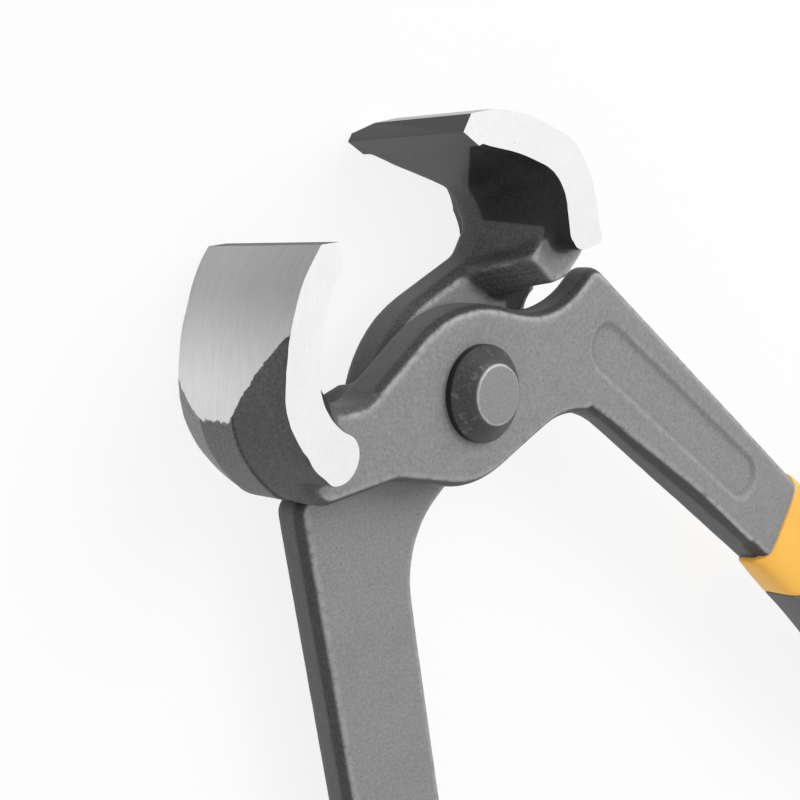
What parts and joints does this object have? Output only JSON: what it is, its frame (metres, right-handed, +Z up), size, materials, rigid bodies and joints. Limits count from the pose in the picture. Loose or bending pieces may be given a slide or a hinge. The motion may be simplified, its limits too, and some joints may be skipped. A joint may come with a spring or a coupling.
{
  "type": "end cutting nippers",
  "caption": "Carpenter's end cutting nippers: hooked forged jaws with ground edges, flat levers crossing at a domed rivet, two-component sleeved grips.",
  "frame": {"origin": "the middle of the tool's box on the table that it lies on, opened as in the picture", "axes": "+Y along the tool's middle line towards the jaws, +Z up along the rivet's axis, +X to the right seen from above"},
  "size_m": [0.1716, 0.181, 0.021],
  "materials": {
    "forged_steel": "phosphated forging with ground jaw faces",
    "rivet_steel": "phosphated",
    "grip_hard": "satin moulded",
    "grip_soft": "matte soft component"
  },
  "bodies": {
    "rear_half": {"rear_lever": "forged_steel", "pivot_rivet": "rivet_steel", "rear_grip_core": "grip_hard", "rear_grip_sleeve": "grip_soft"},
    "front_half": {"front_lever": "forged_steel", "front_grip_core": "grip_hard", "front_grip_sleeve": "grip_soft"}
  },
  "joints": [
    {"name": "pivot", "type": "hinge", "parent": "rear_half", "child": "front_half", "pos_m": [0, 0.05863, 0.0105], "axis": [0, 0, 1], "range_deg": [-42.3, 0.3]}
  ]
}
